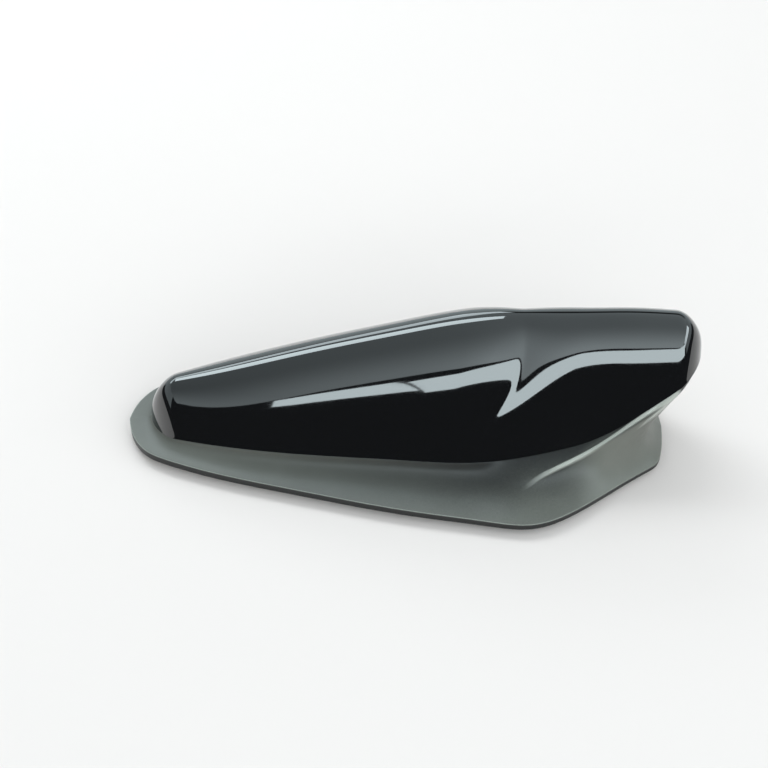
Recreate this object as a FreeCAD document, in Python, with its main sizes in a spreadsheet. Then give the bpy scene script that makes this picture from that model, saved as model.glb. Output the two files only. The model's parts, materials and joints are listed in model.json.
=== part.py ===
import FreeCAD, Part
import math
import os
import Sketcher
from FreeCAD import Vector

# Car roof antenna: gloss cover on a moulded boot, with the GPS and phone aerials inside.
# Millimetres. +X points to the tail, +Z up. Lengths "from tip" start at the boot's front tip.

doc = FreeCAD.newDocument("roof_antenna")
sheet = doc.addObject("Spreadsheet::Sheet", "sizes")

SIZES = [
    # Boot outline
    ("base_length", 158.3),
    ("tail_overhang", 7.4),
    ("rim_half_tip", 11.5),
    ("rim_half_fore", 19.8),
    ("rim_half_front", 28.2),
    ("rim_half_middle", 36.3),
    ("rim_half_approach", 40.0),
    ("rim_half_corner", 40.9),
    ("rim_half_turn", 38.2),
    ("rim_half_flank", 35.0),
    ("rim_half_rear", 19.7),
    ("rim_half_end", 14.2),
    ("rim_tip_round", 9.0),
    ("rim_end_round", 3.0),
    ("rim_height_tip", 2.2),
    ("rim_height_end", 1.3),
    ("scoop_depth", 12.0),
    # Cover: seam height, half width at the seam and crown height at nine stations
    ("nose_setback", 6.8),
    ("nose_round", 8.5),
    ("tail_round", 7.8),
    ("cover_wall", 2.2),
    ("seam_gap", 0.2),
    ("arch_power", 2.1),
    ("seam_nose", 4.2),
    ("seam_fore", 6.3),
    ("seam_front", 7.7),
    ("seam_middle", 8.8),
    ("seam_shoulder", 9.9),
    ("seam_rear", 12.3),
    ("seam_haunch", 13.5),
    ("seam_root", 19.6),
    ("seam_tail", 32.6),
    ("half_nose", 8.8),
    ("half_fore", 14.8),
    ("half_front", 20.0),
    ("half_middle", 22.8),
    ("half_shoulder", 24.3),
    ("half_rear", 21.4),
    ("half_haunch", 19.7),
    ("half_root", 17.4),
    ("half_tail", 10.8),
    ("crown_nose", 16.4),
    ("crown_fore", 22.0),
    ("crown_front", 31.4),
    ("crown_middle", 38.8),
    ("crown_shoulder", 44.0),
    ("crown_rear", 44.8),
    ("crown_haunch", 45.0),
    ("crown_root", 45.3),
    ("crown_tail", 44.0),
    # Valley between the nose hull and the rear body
    ("valley_foot", 89.0),
    ("valley_sweep", 28.0),
    ("valley_front_reach", 32.0),
    ("valley_rear_reach", 15.0),
    ("valley_depth_flank", 1.7),
    ("valley_depth_crown", 0.1),
    # Chassis plate
    ("plate_bottom", 0.8),
    ("plate_thickness", 2.0),
    ("plate_round", 4.0),
    ("pocket_clearance", 0.3),
    ("plate_front", 30.0),
    ("plate_front_half", 3.0),
    ("plate_mid", 60.0),
    ("plate_mid_half", 12.5),
    ("plate_wide", 110.0),
    ("plate_wide_half", 17.5),
    ("plate_tail_gap", 32.0),
    ("plate_rear_half", 5.0),
    ("lip_width", 3.4),
    # Cover bosses and their screws
    ("boss_radius", 3.0),
    ("boss_clearance", 0.3),
    ("boss_foot_top", 14.0),
    ("cover_screw_radius", 1.25),
    ("cover_screw_depth", 9.0),
    ("screw_clearance", 0.25),
    ("screw_head_radius", 2.4),
    ("screw_head_height", 0.6),
    ("front_boss", 33.0),
    ("side_boss", 102.0),
    ("side_boss_half", 17.2),
    ("rear_boss_tail_gap", 42.2),
    ("rear_boss_half", 9.5),
    # Roof bolt insert
    ("bolt_from_tip", 109.0),
    ("bolt_core_radius", 2.5),
    ("insert_radius", 4.5),
    ("insert_length", 8.0),
    ("insert_wall", 2.0),
    # Underside sealing ring
    ("ring_front", 62.0),
    ("ring_rear", 115.0),
    ("ring_half", 11.0),
    ("ring_width", 3.0),
    ("ring_thickness", 0.7),
    # Circuit board on four posts
    ("board_bottom", 11.0),
    ("board_thickness", 1.6),
    ("board_front", 40.0),
    ("board_front_half", 8.5),
    ("board_taper", 12.0),
    ("board_half", 12.4),
    ("board_rear", 118.0),
    ("post_radius", 2.4),
    ("post_front", 47.0),
    ("post_front_half", 5.5),
    ("post_rear", 101.0),
    ("post_rear_half", 9.4),
    ("board_screw_radius", 0.95),
    ("board_screw_depth", 6.0),
    # GPS patch
    ("patch_from_tip", 74.0),
    ("patch_side", 25.0),
    ("patch_thickness", 4.0),
    ("patch_corner_cut", 1.8),
    ("tape_thickness", 0.5),
    ("feed_offset", 3.0),
    ("feed_radius", 0.5),
    ("feed_head_radius", 1.1),
    ("feed_head_height", 0.4),
    ("feed_clearance", 0.15),
    # Shield over the amplifier
    ("shield_from_tip", 91.5),
    ("shield_length", 9.0),
    ("shield_width", 18.0),
    ("shield_height", 3.2),
    ("shield_wall", 0.3),
    # Twin connector
    ("socket_from_tip", 84.5),
    ("socket_length", 24.0),
    ("socket_width", 13.0),
    ("socket_wall", 1.2),
    ("socket_roof", 2.0),
    ("socket_mouth", 1.0),
    ("socket_pitch", 11.0),
    ("socket_clearance", 0.2),
    ("ferrule_radius", 2.6),
    ("ferrule_bore", 2.0),
    ("ferrule_length", 4.2),
    ("insulator_length", 2.4),
    ("pin_radius", 0.45),
    ("pin_length", 3.6),
    ("pin_recess", 0.3),
    # Phone aerial blade
    ("blade_front", 108.0),
    ("blade_foot_length", 9.0),
    ("blade_foot_height", 5.0),
    ("blade_thickness", 1.0),
    ("blade_top", 38.5),
    ("blade_top_front", 114.0),
    ("blade_tail_gap", 15.0),
    ("blade_tail_low", 31.0),
    ("blade_slot_width", 1.4),
    ("blade_slot_length", 13.0),
    ("blade_slot_pitch", 6.0),
    ("carrier_length", 8.0),
    ("carrier_width", 7.0),
    ("carrier_height", 5.0),
    ("carrier_floor", 1.0),
    ("carrier_clearance", 0.1),
    ("contact_width", 2.4),
    ("contact_thickness", 0.3),
    ("contact_height", 3.0),
]
for row, (alias, value) in enumerate(SIZES, start=1):
    sheet.set("A%d" % row, alias)
    sheet.set("B%d" % row, str(value))
    sheet.setAlias("B%d" % row, alias)
doc.recompute()


def size(alias):
    return float(sheet.get(alias))


OVERALL = "(sizes.base_length + sizes.tail_overhang)"
half_overall = (size("base_length") + size("tail_overhang")) / 2
to_centre = FreeCAD.Placement(Vector(-half_overall, 0, 0), FreeCAD.Rotation())


def from_tip(expression):
    return "%s - %s / 2" % (expression, OVERALL)


# Free-form skins

STATIONS = {"nose": 0.0, "fore": 0.114, "front": 0.30, "middle": 0.464,
            "shoulder": 0.62, "rear": 0.75, "haunch": 0.80, "root": 0.87, "tail": 1.0}
RIM_STATIONS = {"tip": 0.0, "fore": 0.126, "front": 0.316, "middle": 0.537,
                "approach": 0.68, "corner": 0.745, "turn": 0.79, "flank": 0.822, "rear": 0.947, "end": 1.0}


def natural_spline(points):
    """Curve with continuous curvature through (place, value) points, as a function."""
    xs = [p[0] for p in points]
    ys = [p[1] for p in points]
    last = len(xs) - 1
    gaps = [xs[i + 1] - xs[i] for i in range(last)]
    diagonal = [1.0] + [2 * (gaps[i - 1] + gaps[i]) for i in range(1, last)] + [1.0]
    upper = [0.0] + gaps[1:] + [0.0]
    bends = [0.0] * (last + 1)
    for i in range(1, last):
        slope_step = (ys[i + 1] - ys[i]) / gaps[i] - (ys[i] - ys[i - 1]) / gaps[i - 1]
        share = gaps[i - 1] / diagonal[i - 1]
        diagonal[i] -= share * upper[i - 1]
        bends[i] = 6 * slope_step - share * bends[i - 1]
    for i in range(last - 1, 0, -1):
        bends[i] = (bends[i] - upper[i] * bends[i + 1]) / diagonal[i]

    def value(x):
        i = max(k for k in range(last) if k == 0 or x >= xs[k])
        left = x - xs[i]
        right = xs[i + 1] - x
        cubic = (bends[i] * right ** 3 + bends[i + 1] * left ** 3) / (6 * gaps[i])
        start = (ys[i] / gaps[i] - bends[i] * gaps[i] / 6) * right
        end = (ys[i + 1] / gaps[i] - bends[i + 1] * gaps[i] / 6) * left
        return cubic + start + end

    return value


def law(prefix, stations, start, length):
    return natural_spline([(start + share * length, size(prefix + name))
                           for name, share in stations.items()])


# Distances under this count as none, so that a rounded end closes in one point
SMALLEST = 1e-6


def rounding(distance, length):
    """Quarter-ellipse factor that closes a form over its last length."""
    if distance >= length:
        return 1.0
    if distance < SMALLEST:
        return 0.0
    return math.sqrt(1 - (1 - distance / length) ** 2)


def smooth_step(t):
    t = min(1.0, max(0.0, t))
    return t * t * (3 - 2 * t)


nose = size("nose_setback")
tail = size("base_length") + size("tail_overhang")
cover_length = tail - nose
seam_height = law("seam_", STATIONS, nose, cover_length)
half_width = law("half_", STATIONS, nose, cover_length)
crown_height = law("crown_", STATIONS, nose, cover_length)
rim_half = law("rim_half_", RIM_STATIONS, 0.0, size("base_length"))


def cover_stations(end_count, middle_count):
    """Places along the cover, close together on the rounded nose and tail."""
    angles = [k * math.pi / 2 / end_count for k in range(end_count)]
    first = nose + size("nose_round")
    last = tail - size("tail_round")
    front = [nose + size("nose_round") * (1 - math.cos(a)) for a in angles]
    middle = [first + (last - first) * k / middle_count for k in range(middle_count + 1)]
    back = [tail - size("tail_round") * (1 - math.cos(a)) for a in reversed(angles)]
    return front + middle + back


# Share of its reach over which the valley's floor is rounded, and how its depth grows up the flank.
VALLEY_FLOOR = 0.05
VALLEY_FOOT_SHARE = 0.08
VALLEY_FULL_LIFT = 0.8


def valley_pinch(place, lift):
    """Share by which the section draws in at a place; lift is 0 at the seam, 1 at the crown."""
    centre = size("valley_foot") + size("valley_sweep") * (1 - (1 - lift) ** 2.6)
    reach = size("valley_front_reach") if place < centre else size("valley_rear_reach")
    away = min(1.0, math.hypot((place - centre) / reach, VALLEY_FLOOR) - VALLEY_FLOOR)
    flank = size("valley_depth_flank") / half_width(place)
    crown = size("valley_depth_crown") / (crown_height(place) - seam_height(place))
    share = VALLEY_FOOT_SHARE + (1 - VALLEY_FOOT_SHARE) * smooth_step(lift / VALLEY_FULL_LIFT)
    depth = crown + (flank * share - crown) * (1 - lift ** 6)
    return depth * (1 - away) ** 2


def cover_section(place, inset, count, lift_gap):
    """Arch of points from the near seam to the far seam."""
    close = rounding(place - nose - inset, size("nose_round") - inset)
    close *= rounding(tail - inset - place, size("tail_round") - inset)
    foot = seam_height(place) + lift_gap
    half = (half_width(place) - inset) * close
    rise = (crown_height(place) - inset - foot) * close
    points = []
    for k in range(count):
        angle = math.pi * k / (count - 1)
        lift = max(0.0, math.sin(angle)) ** size("arch_power")
        keep = 1 - valley_pinch(place, lift)
        points.append(Vector(place, -half * math.cos(angle) * keep, foot + rise * lift * keep))
    return points


def arch_poles(points):
    """Poles whose cubic passes close to the points; the two seam points stay."""
    arch = [b - (a - b * 2 + c) / 6 for a, b, c in zip(points, points[1:], points[2:])]
    return [points[0]] + arch + [points[-1]]


def cover_grid(inset, count, lift_gap, places):
    stretch = (cover_length - 2 * inset) / cover_length
    inner = [nose + inset + (p - nose) * stretch for p in places]
    return [arch_poles(cover_section(p, inset, count, lift_gap)) for p in inner]


def even_knots(count, degree):
    """Multiplicities and evenly spaced knots that reach both end poles."""
    spans = count - degree
    mults = [degree + 1] + [1] * (spans - 1) + [degree + 1]
    return mults, [float(k) for k in range(spans + 1)]


def skin(poles, degree_along, degree_across):
    """Face of a B-spline surface with the given net of poles."""
    mults_along, knots_along = even_knots(len(poles), degree_along)
    mults_across, knots_across = even_knots(len(poles[0]), degree_across)
    surface = Part.BSplineSurface()
    surface.buildFromPolesMultsKnots(poles, mults_along, mults_across, knots_along, knots_across,
                                     False, False, degree_along, degree_across)
    return surface.toShape()


def curve(points):
    """Edge along the border of a skin with these poles."""
    mults, knots = even_knots(len(points), 3)
    line = Part.BSplineCurve()
    line.buildFromPolesMultsKnots(points, mults, knots, False, 3)
    return line.toShape()


def strip(side_a, side_b):
    return skin([[a, b] for a, b in zip(side_a, side_b)], 3, 1)


def solid_of(faces):
    body = Part.Compound(faces)
    body.sewShape(1e-4)
    solid = Part.Solid(body.Shells[0])
    if solid.Volume < 0:
        solid.reverse()
    return solid


def first_of(grid):
    return [row[0] for row in grid]


def last_of(grid):
    return [row[-1] for row in grid]


def add_feature(name, shape):
    feature = doc.addObject("Part::Feature", name)
    feature.Shape = shape
    feature.Placement = to_centre
    return feature


# Share of the wall that stays outside a screw boss where it grows out of the cover
BOSS_ROOT = 0.7

places = cover_stations(4, 22)
gap = size("seam_gap")
wall = size("cover_wall")
outer = cover_grid(0.0, 13, gap, places)
inner = cover_grid(wall, 9, gap, places)
boss_skin = cover_grid(wall * BOSS_ROOT, 9, gap, places)
cover_shell = add_feature("cover_shell", solid_of([
    skin(outer, 3, 3), skin(inner, 3, 3),
    strip(first_of(outer), first_of(inner)), strip(last_of(outer), last_of(inner))]))
boss_limit = add_feature("boss_limit", solid_of([
    skin(boss_skin, 3, 3), strip(first_of(boss_skin), last_of(boss_skin))]))

# Pole pattern of the boot's flank from the rim to the seam: shares of the way in and up.
FLANK_IN = (0.38, 0.72, 0.90, 0.97)
FLANK_UP = (0.08, 0.30, 0.56, 0.78)
# The ridge leaves the flank's middle and closes on the seam towards the tail.
RIDGE_START = 0.62
RIDGE_FULL = 0.73
RIDGE_CLOSES = 0.82
RIDGE_IN = (0.42, 0.81)
RIDGE_UP = (0.42, 0.88)
SCOOP_START = 0.74
SCOOP_SHARE = (1.0, 0.3, 0.05, 0.0)


def ridge_poles(share):
    """Shares in and up of the four poles that draw the ridge with the scoop below it."""
    closing = smooth_step((share - RIDGE_START) / (RIDGE_CLOSES - RIDGE_START))
    way_in = RIDGE_IN[0] + (RIDGE_IN[1] - RIDGE_IN[0]) * closing
    way_up = RIDGE_UP[0] + (RIDGE_UP[1] - RIDGE_UP[0]) * closing
    ins = (0.62 * way_in, way_in - 0.02, way_in, way_in + 0.15 * (1 - way_in))
    ups = (0.28 * way_up, way_up - 0.16, way_up, way_up + 0.15 * (1 - way_up))
    return ins, ups


def boot_row(place, seam_point):
    """Poles of the near flank at one station, rim first."""
    share = (place - nose) / cover_length
    rim_place = size("base_length") * share
    close = rounding(rim_place, size("rim_tip_round"))
    close *= rounding(size("base_length") - rim_place, size("rim_end_round"))
    rim_z = size("rim_height_tip") + (size("rim_height_end") - size("rim_height_tip")) * share ** 3
    rim = Vector(rim_place, -rim_half(rim_place) * close, rim_z)
    edge = Vector(seam_point.x, seam_point.y, seam_height(place))
    ridge = smooth_step((share - RIDGE_START) / (RIDGE_FULL - RIDGE_START))
    scoop = size("scoop_depth") * max(0.0, (share - SCOOP_START) / (1 - SCOOP_START)) ** 1.6
    ridge_in, ridge_up = ridge_poles(share)
    row = [rim]
    for k in range(len(FLANK_IN)):
        way_in = FLANK_IN[k] + (ridge_in[k] - FLANK_IN[k]) * ridge
        way_up = FLANK_UP[k] + (ridge_up[k] - FLANK_UP[k]) * ridge
        row.append(Vector(rim.x + (edge.x - rim.x) * way_in - scoop * SCOOP_SHARE[k],
                          rim.y + (edge.y - rim.y) * way_in,
                          rim.z + (edge.z - rim.z) * way_up))
    row.append(edge)
    return row


def mirrored(grid):
    return [[Vector(p.x, -p.y, p.z) for p in row] for row in grid]


def on_floor(points):
    return [Vector(p.x, p.y, 0) for p in points]


near = [boot_row(p, row[0]) for p, row in zip(places, outer)]
far = mirrored(near)
boot_faces = [
    skin(near, 3, 3), skin(far, 3, 3), strip(last_of(near), last_of(far)),
    strip(on_floor(first_of(near)), first_of(near)), strip(on_floor(first_of(far)), first_of(far)),
    Part.Face(Part.Wire([curve(on_floor(first_of(near))), curve(on_floor(first_of(far)))]))]
boot_block = add_feature("boot_block", solid_of(boot_faces))


# Plain parametric pieces

def bind_place(thing, x=None, y=None, z=None):
    for axis, expression in (("x", x), ("y", y), ("z", z)):
        if expression is not None:
            thing.setExpression("Placement.Base." + axis, expression)


def cylinder(name, x, y, z, radius, height):
    piece = doc.addObject("Part::Cylinder", name)
    piece.setExpression("Radius", radius)
    piece.setExpression("Height", height)
    bind_place(piece, from_tip(x), y, z)
    return piece


def box(name, x_middle, y_middle, z, length, width, height):
    piece = doc.addObject("Part::Box", name)
    piece.setExpression("Length", length)
    piece.setExpression("Width", width)
    piece.setExpression("Height", height)
    bind_place(piece, from_tip("%s - (%s) / 2" % (x_middle, length)),
               "%s - (%s) / 2" % (y_middle, width), z)
    return piece


def fuse(name, pieces):
    joined = doc.addObject("Part::MultiFuse", name)
    joined.Shapes = pieces
    joined.Refine = False
    return joined


def group(name, pieces):
    """Separate like solids that share one node."""
    together = doc.addObject("Part::Compound", name)
    together.Links = pieces
    return together


def cut(name, base, tools):
    removed = tools[0] if len(tools) == 1 else fuse(name + "_tools", tools)
    result = doc.addObject("Part::Cut", name)
    result.Base = base
    result.Tool = removed
    result.Refine = False
    return result


def close_polygon(sketch, corners):
    """Closed polygon through corners, each coordinate bound to the sheet."""
    count = len(corners)
    for k in range(count):
        start = Vector(math.cos(6.28 * k / count), math.sin(6.28 * k / count), 0)
        end = Vector(math.cos(6.28 * (k + 1) / count), math.sin(6.28 * (k + 1) / count), 0)
        sketch.addGeometry(Part.LineSegment(start, end), False)
    for k in range(count):
        sketch.addConstraint(Sketcher.Constraint("Coincident", k, 2, (k + 1) % count, 1))
    for k, corner in enumerate(corners):
        for kind, expression in zip(("DistanceX", "DistanceY"), corner):
            index = sketch.addConstraint(Sketcher.Constraint(kind, -1, 1, k, 1, 1.0))
            sketch.setExpression("Constraints[%d]" % index, expression)


def outline(name, corners, z):
    """Flat closed sketch through (x from tip, y) corners."""
    sketch = doc.addObject("Sketcher::SketchObject", name)
    close_polygon(sketch, corners)
    bind_place(sketch, from_tip("0"), None, z)
    return sketch


def grown(name, sketch, distance):
    offset = doc.addObject("Part::Offset2D", name)
    offset.Source = sketch
    offset.setExpression("Value", distance)
    return offset


def extruded(name, profile, height):
    prism = doc.addObject("Part::Extrusion", name)
    prism.Base = profile
    prism.DirMode = "Custom"
    prism.Dir = Vector(0, 0, 1)
    prism.Solid = True
    prism.setExpression("LengthFwd", height)
    return prism


PLATE_TOP = "(sizes.plate_bottom + sizes.plate_thickness)"
BOARD_TOP = "(sizes.board_bottom + sizes.board_thickness)"
BLADE_FOOT = "(%s + sizes.carrier_floor)" % BOARD_TOP
SOCKET_CEILING = "(sizes.board_bottom - sizes.socket_roof)"
REAR_BOSS = "%s - sizes.rear_boss_tail_gap" % OVERALL
PLATE_REAR = "%s - sizes.plate_tail_gap" % OVERALL
BLADE_REAR = "%s - sizes.blade_tail_gap" % OVERALL
SIDES = ("-", "")
BOSSES = [("sizes.front_boss", "0")]
BOSSES += [("sizes.side_boss", side + "sizes.side_boss_half") for side in SIDES]
BOSSES += [(REAR_BOSS, side + "sizes.rear_boss_half") for side in SIDES]
POSTS = [("sizes.post_front", side + "sizes.post_front_half") for side in SIDES]
POSTS += [("sizes.post_rear", side + "sizes.post_rear_half") for side in SIDES]
SOCKETS = {"gps": "(sizes.socket_from_tip - sizes.socket_pitch / 2)",
           "phone": "(sizes.socket_from_tip + sizes.socket_pitch / 2)"}
FEED = "(sizes.patch_from_tip + sizes.feed_offset)"


def both_sides(corners):
    """Closed outline from its near corners, given as (x from tip, half width)."""
    near_side = [(x, "-" + half) for x, half in corners]
    return near_side + list(reversed(corners))


def cover_boss(index, x, y):
    """Post that hangs from the cover's wall down to the chassis plate."""
    post = cylinder("boss_post_%d" % index, x, y, PLATE_TOP, "sizes.boss_radius", "sizes.crown_root")
    inside = doc.addObject("Part::Common", "boss_%d" % index)
    inside.Base = post
    inside.Tool = boss_limit
    foot = cylinder("boss_foot_%d" % index, x, y, PLATE_TOP, "sizes.boss_radius",
                    "sizes.boss_foot_top - %s" % PLATE_TOP)
    return [inside, foot]


def make_cover():
    pieces = [cover_shell]
    pilots = []
    for index, (x, y) in enumerate(BOSSES):
        pieces += cover_boss(index, x, y)
        pilots.append(cylinder("boss_pilot_%d" % index, x, y, PLATE_TOP, "sizes.cover_screw_radius",
                               "sizes.cover_screw_depth"))
    return cut("radome_cover", fuse("cover_with_bosses", pieces), pilots)


def make_boot(plate_sketch):
    """Flange and tail shell, pocketed for the plate and open under the cover."""
    pocket = extruded("plate_pocket", grown("pocket_outline", plate_sketch,
                                            "sizes.plate_round + sizes.pocket_clearance"), PLATE_TOP)
    opening = extruded("boot_opening", grown("opening_outline", plate_sketch,
                                             "sizes.plate_round - sizes.lip_width"), "sizes.seam_tail")
    reliefs = [cylinder("boss_relief_%d" % index, x, y, "0",
                        "sizes.boss_radius + sizes.boss_clearance", "sizes.seam_tail")
               for index, (x, y) in enumerate(BOSSES)]
    return cut("base_boot", boot_block, [pocket, opening] + reliefs)


def make_chassis(plate_sketch):
    plate = extruded("plate", grown("plate_outline", plate_sketch, "sizes.plate_round"),
                     PLATE_TOP)
    recess = box("plate_recess", "%s / 2" % OVERALL, "0", "0", OVERALL, OVERALL, "sizes.plate_bottom")
    pieces = [cut("plate_sheet", plate, [recess])]
    holes = [box("socket_hole", "sizes.socket_from_tip", "0", "0",
                 "sizes.socket_length + 2 * sizes.socket_clearance",
                 "sizes.socket_width + 2 * sizes.socket_clearance", PLATE_TOP)]
    for index, (x, y) in enumerate(POSTS):
        pieces.append(cylinder("post_%d" % index, x, y, "sizes.plate_bottom", "sizes.post_radius",
                               "sizes.board_bottom - sizes.plate_bottom"))
        holes.append(cylinder("post_pilot_%d" % index, x, y,
                              "sizes.board_bottom - sizes.board_screw_depth",
                              "sizes.board_screw_radius", "sizes.board_screw_depth"))
    for index, (x, y) in enumerate(BOSSES):
        holes.append(cylinder("plate_hole_%d" % index, x, y, "0",
                              "sizes.cover_screw_radius + sizes.screw_clearance", PLATE_TOP))
    pieces.append(cylinder("insert_boss", "sizes.bolt_from_tip", "0", "sizes.plate_bottom",
                           "sizes.insert_radius + sizes.insert_wall", "sizes.insert_length"))
    holes.append(cylinder("insert_hole", "sizes.bolt_from_tip", "0", "0", "sizes.insert_radius",
                          "sizes.plate_bottom + sizes.insert_length"))
    return cut("chassis_plate", fuse("chassis_casting", pieces), holes)


def make_hub_seal():
    bottom = "sizes.plate_bottom - sizes.ring_thickness"
    sketch = outline("ring_sketch", both_sides([("sizes.ring_front", "sizes.ring_half"),
                                                ("sizes.ring_rear", "sizes.ring_half")]), bottom)
    outside = extruded("ring_outside", grown("ring_outline", sketch, "sizes.ring_width"),
                       "sizes.ring_thickness")
    return cut("hub_seal", outside, [extruded("ring_inside", sketch, "sizes.ring_thickness")])


def make_insert():
    body = cylinder("insert_body", "sizes.bolt_from_tip", "0", "sizes.plate_bottom",
                    "sizes.insert_radius", "sizes.insert_length")
    core = cylinder("insert_core", "sizes.bolt_from_tip", "0", "sizes.plate_bottom",
                    "sizes.bolt_core_radius", "sizes.insert_length")
    return cut("threaded_insert", body, [core])


def make_cover_screws():
    screws = []
    for index, (x, y) in enumerate(BOSSES):
        head = cylinder("cover_screw_head_%d" % index, x, y,
                        "sizes.plate_bottom - sizes.screw_head_height",
                        "sizes.screw_head_radius", "sizes.screw_head_height")
        shank = cylinder("cover_screw_shank_%d" % index, x, y, "sizes.plate_bottom",
                         "sizes.cover_screw_radius",
                         "sizes.plate_thickness + sizes.cover_screw_depth")
        screws.append(fuse("cover_screw_%d" % index, [head, shank]))
    return group("cover_screws", screws)


def make_board_screws():
    screws = []
    for index, (x, y) in enumerate(POSTS):
        head = cylinder("board_screw_head_%d" % index, x, y, BOARD_TOP,
                        "2 * sizes.board_screw_radius", "sizes.board_screw_radius")
        shank = cylinder("board_screw_shank_%d" % index, x, y,
                         "sizes.board_bottom - sizes.board_screw_depth", "sizes.board_screw_radius",
                         "sizes.board_screw_depth + sizes.board_thickness")
        screws.append(fuse("board_screw_%d" % index, [head, shank]))
    return group("board_screws", screws)


def make_board():
    sketch = outline("board_sketch", both_sides([
        ("sizes.board_front", "sizes.board_front_half"),
        ("(sizes.board_front + sizes.board_taper)", "sizes.board_half"),
        ("sizes.board_rear", "sizes.board_half")]), "sizes.board_bottom")
    holes = [cylinder("board_hole_%d" % index, x, y, "sizes.board_bottom",
                      "sizes.board_screw_radius + sizes.screw_clearance", "sizes.board_thickness")
             for index, (x, y) in enumerate(POSTS)]
    holes += [cylinder("board_%s_hole" % name, x, "0", "sizes.board_bottom",
                       "sizes.pin_radius + sizes.feed_clearance", "sizes.board_thickness")
              for name, x in SOCKETS.items()]
    holes.append(cylinder("board_feed_hole", FEED, "0", "sizes.board_bottom",
                          "sizes.feed_radius + sizes.feed_clearance", "sizes.board_thickness"))
    return cut("main_circuit_board", extruded("board_sheet", sketch, "sizes.board_thickness"), holes)


def feed_hole(name):
    return cylinder(name, FEED, "0", BOARD_TOP, "sizes.feed_radius + sizes.feed_clearance",
                    "sizes.tape_thickness + sizes.patch_thickness")


def make_tape():
    pad = box("tape_pad", "sizes.patch_from_tip", "0", BOARD_TOP,
              "sizes.patch_side - 2 * sizes.patch_corner_cut",
              "sizes.patch_side - 2 * sizes.patch_corner_cut", "sizes.tape_thickness")
    return cut("patch_tape", pad, [feed_hole("tape_feed_hole")])


def make_patch():
    """Square ceramic tile with two cut corners."""
    low = "(sizes.patch_from_tip - sizes.patch_side / 2)"
    high = "(sizes.patch_from_tip + sizes.patch_side / 2)"
    half = "sizes.patch_side / 2"
    corners = [("%s + sizes.patch_corner_cut" % low, "-" + half), (high, "-" + half),
               (high, "%s - sizes.patch_corner_cut" % half),
               ("%s - sizes.patch_corner_cut" % high, half), (low, half),
               (low, "-%s + sizes.patch_corner_cut" % half)]
    sketch = outline("patch_sketch", corners, "%s + sizes.tape_thickness" % BOARD_TOP)
    tile = extruded("patch_tile", sketch, "sizes.patch_thickness")
    return cut("patch_antenna", tile, [feed_hole("patch_feed_hole")])


def make_feed_pin():
    patch_top = "(%s + sizes.tape_thickness + sizes.patch_thickness)" % BOARD_TOP
    shank = cylinder("feed_shank", FEED, "0", "sizes.board_bottom + sizes.pin_recess",
                     "sizes.feed_radius", "%s - sizes.board_bottom - sizes.pin_recess" % patch_top)
    head = cylinder("feed_head", FEED, "0", patch_top, "sizes.feed_head_radius",
                    "sizes.feed_head_height")
    return fuse("patch_feed_pin", [shank, head])


def make_shield():
    can = box("shield_outside", "sizes.shield_from_tip", "0", BOARD_TOP, "sizes.shield_length",
              "sizes.shield_width", "sizes.shield_height")
    hollow = box("shield_inside", "sizes.shield_from_tip", "0", BOARD_TOP,
                 "sizes.shield_length - 2 * sizes.shield_wall",
                 "sizes.shield_width - 2 * sizes.shield_wall",
                 "sizes.shield_height - sizes.shield_wall")
    return cut("amplifier_shield", can, [hollow])


def make_shroud():
    """Open-mouthed housing that both coaxial jacks stand in."""
    outside = box("shroud_outside", "sizes.socket_from_tip", "0", "sizes.socket_mouth",
                  "sizes.socket_length", "sizes.socket_width",
                  "sizes.board_bottom - sizes.socket_mouth")
    hollow = box("shroud_inside", "sizes.socket_from_tip", "0", "sizes.socket_mouth",
                 "sizes.socket_length - 2 * sizes.socket_wall",
                 "sizes.socket_width - 2 * sizes.socket_wall",
                 "%s - sizes.socket_mouth" % SOCKET_CEILING)
    holes = [cylinder("shroud_%s_hole" % name, x, "0", SOCKET_CEILING,
                      "sizes.pin_radius + sizes.feed_clearance", "sizes.socket_roof")
             for name, x in SOCKETS.items()]
    return cut("connector_shroud", outside, [hollow] + holes)


def make_jack(name, x):
    """Ferrule, insulator and centre pin of one coaxial jack, mouth down."""
    tip = "(%s - sizes.ferrule_length)" % SOCKET_CEILING
    seat = "(%s - sizes.insulator_length)" % SOCKET_CEILING
    tube = cylinder(name + "_tube", x, "0", tip, "sizes.ferrule_radius", "sizes.ferrule_length")
    bore = cylinder(name + "_bore", x, "0", tip, "sizes.ferrule_bore", "sizes.ferrule_length")
    bead = cylinder(name + "_bead", x, "0", seat, "sizes.ferrule_bore", "sizes.insulator_length")
    bead_hole = cylinder(name + "_bead_hole", x, "0", seat, "sizes.pin_radius",
                         "sizes.insulator_length")
    pin = cylinder(name + "_centre_pin", x, "0", "%s - sizes.pin_length" % SOCKET_CEILING,
                   "sizes.pin_radius",
                   "sizes.pin_length + sizes.socket_roof + sizes.board_thickness - sizes.pin_recess")
    return [cut(name + "_ferrule", tube, [bore]), cut(name + "_insulator", bead, [bead_hole]), pin]


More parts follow.
